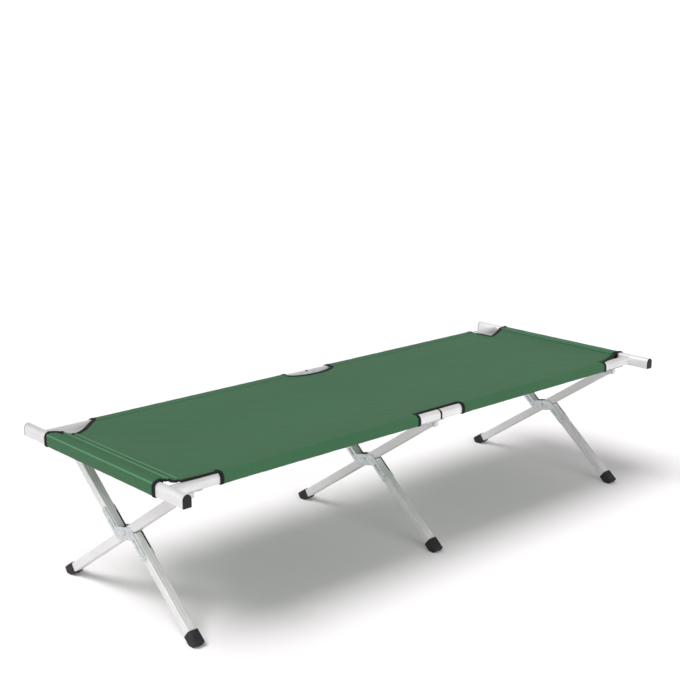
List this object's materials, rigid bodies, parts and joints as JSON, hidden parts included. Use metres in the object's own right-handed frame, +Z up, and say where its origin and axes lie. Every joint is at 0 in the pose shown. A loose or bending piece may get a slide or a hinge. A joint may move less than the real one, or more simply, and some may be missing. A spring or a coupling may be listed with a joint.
{
  "type": "folding camp cot",
  "caption": "Folding camp cot with hinged aluminium side rails, crossed leg frames, loose end bars, rubber feet and a stretched polyester deck.",
  "frame": {"origin": "centre of the bed's footprint, on the floor", "axes": "+X along the bed, +Y across it, +Z up"},
  "size_m": [1.9, 0.742, 0.4385],
  "materials": {
    "aluminium": "bare, satin",
    "steel": "galvanised",
    "rubber": "moulded",
    "black_plastic": "moulded",
    "polyester": "woven, coated underside"
  },
  "bodies": {
    "near_rail_left": {"near_rail_left": "aluminium", "near_peg_left": "steel", "near_sleeve_left": "polyester", "near_bracket_left": "steel", "near_bracket_mid": "steel", "deck_left": "polyester", "left_end_sleeve": "polyester"},
    "near_link": {"near_hinge_link": "steel"},
    "near_rail_right": {"near_rail_right": "aluminium", "near_peg_right": "steel", "near_sleeve_right": "polyester", "near_bracket_right": "steel", "deck_right": "polyester", "right_end_sleeve": "polyester"},
    "far_rail_left": {"far_rail_left": "aluminium", "far_peg_left": "steel", "far_sleeve_left": "polyester", "far_bracket_left": "steel", "far_bracket_mid": "steel"},
    "far_link": {"far_hinge_link": "steel"},
    "far_rail_right": {"far_rail_right": "aluminium", "far_peg_right": "steel", "far_sleeve_right": "polyester", "far_bracket_right": "steel"},
    "left_bar": {"left_end_bar": "aluminium", "near_cap_left": "black_plastic", "far_cap_left": "black_plastic"},
    "right_bar": {"right_end_bar": "aluminium", "near_cap_right": "black_plastic", "far_cap_right": "black_plastic"},
    "near_clevis_left": {"near_clevis_left": "steel"},
    "far_clevis_left": {"far_clevis_left": "steel"},
    "long_leg_left": {"long_leg_left": "aluminium", "long_foot_left": "rubber"},
    "split_leg_left": {"split_upper_left": "aluminium", "split_lower_left": "aluminium", "split_foot_left": "rubber", "front_plate_left": "steel", "back_plate_left": "steel"},
    "near_clevis_mid": {"near_clevis_mid": "steel"},
    "far_clevis_mid": {"far_clevis_mid": "steel"},
    "long_leg_mid": {"long_leg_mid": "aluminium", "long_foot_mid": "rubber"},
    "split_leg_mid": {"split_upper_mid": "aluminium", "split_lower_mid": "aluminium", "split_foot_mid": "rubber", "front_plate_mid": "steel", "back_plate_mid": "steel"},
    "near_clevis_right": {"near_clevis_right": "steel"},
    "far_clevis_right": {"far_clevis_right": "steel"},
    "long_leg_right": {"long_leg_right": "aluminium", "long_foot_right": "rubber"},
    "split_leg_right": {"split_upper_right": "aluminium", "split_lower_right": "aluminium", "split_foot_right": "rubber", "front_plate_right": "steel", "back_plate_right": "steel"}
  },
  "joints": [
    {"name": "leg_swing_left", "type": "hinge", "parent": "near_rail_left", "child": "near_clevis_left", "pos_m": [-0.864, -0.288, 0.388], "axis": [0, -1, 0], "range_deg": [0, 90]},
    {"name": "leg_swing_mid", "type": "hinge", "parent": "near_rail_left", "child": "near_clevis_mid", "pos_m": [0, -0.288, 0.388], "axis": [0, 1, 0], "range_deg": [0, 76]},
    {"name": "leg_swing_right", "type": "hinge", "parent": "near_rail_right", "child": "near_clevis_right", "pos_m": [0.864, -0.288, 0.388], "axis": [0, 1, 0], "range_deg": [0, 90]},
    {"name": "width_fold", "type": "hinge", "parent": "near_clevis_left", "child": "long_leg_left", "pos_m": [-0.864, -0.258, 0.388], "axis": [-1, 0, 0], "range_deg": [0, 52], "deforming": ["deck_left", "deck_right", "left_end_sleeve", "right_end_sleeve"]},
    {"name": "crossing_left", "type": "hinge", "parent": "long_leg_left", "child": "split_leg_left", "pos_m": [-0.864, 0, 0.21099], "axis": [1, 0, 0], "range_deg": [0, 104]},
    {"name": "far_top_left", "type": "hinge", "parent": "split_leg_left", "child": "far_clevis_left", "pos_m": [-0.864, 0.258, 0.388], "axis": [-1, 0, 0], "range_deg": [0, 52]},
    {"name": "width_fold_mid", "type": "hinge", "parent": "near_clevis_mid", "child": "long_leg_mid", "pos_m": [0, -0.258, 0.388], "axis": [-1, 0, 0], "range_deg": [0, 52]},
    {"name": "crossing_mid", "type": "hinge", "parent": "long_leg_mid", "child": "split_leg_mid", "pos_m": [0, 0, 0.21099], "axis": [1, 0, 0], "range_deg": [0, 104]},
    {"name": "far_top_mid", "type": "hinge", "parent": "split_leg_mid", "child": "far_clevis_mid", "pos_m": [0, 0.258, 0.388], "axis": [-1, 0, 0], "range_deg": [0, 52]},
    {"name": "width_fold_right", "type": "hinge", "parent": "near_clevis_right", "child": "long_leg_right", "pos_m": [0.864, -0.258, 0.388], "axis": [-1, 0, 0], "range_deg": [0, 52]},
    {"name": "crossing_right", "type": "hinge", "parent": "long_leg_right", "child": "split_leg_right", "pos_m": [0.864, 0, 0.21099], "axis": [1, 0, 0], "range_deg": [0, 104]},
    {"name": "far_top_right", "type": "hinge", "parent": "split_leg_right", "child": "far_clevis_right", "pos_m": [0.864, 0.258, 0.388], "axis": [-1, 0, 0], "range_deg": [0, 52]},
    {"name": "far_swing_left", "type": "hinge", "parent": "far_clevis_left", "child": "far_rail_left", "pos_m": [-0.864, 0.288, 0.388], "axis": [0, -1, 0], "range_deg": [-90, 0]},
    {"name": "side_fold", "type": "hinge", "parent": "near_rail_left", "child": "near_link", "pos_m": [-0.024, -0.275, 0.425], "axis": [0, -1, 0], "range_deg": [0, 90]},
    {"name": "near_side_fold_right", "type": "hinge", "parent": "near_link", "child": "near_rail_right", "pos_m": [0.024, -0.275, 0.425], "axis": [0, -1, 0], "range_deg": [0, 90]},
    {"name": "far_side_fold", "type": "hinge", "parent": "far_rail_left", "child": "far_link", "pos_m": [-0.024, 0.275, 0.425], "axis": [0, -1, 0], "range_deg": [0, 90]},
    {"name": "far_side_fold_right", "type": "hinge", "parent": "far_link", "child": "far_rail_right", "pos_m": [0.024, 0.275, 0.425], "axis": [0, -1, 0], "range_deg": [0, 90]},
    {"name": "left_bar_off", "type": "slide", "parent": "near_rail_left", "child": "left_bar", "axis": [-1, 0, 0], "range_m": [0, 0.106]},
    {"name": "right_bar_off", "type": "slide", "parent": "near_rail_right", "child": "right_bar", "axis": [1, 0, 0], "range_m": [0, 0.106]}
  ],
  "couplings": [
    {"joint": "crossing_left", "follows": "width_fold", "ratio": 2},
    {"joint": "far_top_left", "follows": "width_fold", "ratio": 1},
    {"joint": "width_fold_mid", "follows": "width_fold", "ratio": 1},
    {"joint": "crossing_mid", "follows": "width_fold", "ratio": 2},
    {"joint": "far_top_mid", "follows": "width_fold", "ratio": 1},
    {"joint": "width_fold_right", "follows": "width_fold", "ratio": 1},
    {"joint": "crossing_right", "follows": "width_fold", "ratio": 2},
    {"joint": "far_top_right", "follows": "width_fold", "ratio": 1},
    {"joint": "far_swing_left", "follows": "leg_swing_left", "ratio": -1},
    {"joint": "near_side_fold_right", "follows": "side_fold", "ratio": 1},
    {"joint": "far_side_fold", "follows": "side_fold", "ratio": 1},
    {"joint": "far_side_fold_right", "follows": "side_fold", "ratio": 1},
    {"joint": "left_bar_off", "follows": "width_fold", "m_per_rad": 0.11459},
    {"joint": "right_bar_off", "follows": "width_fold", "m_per_rad": 0.11459}
  ]
}
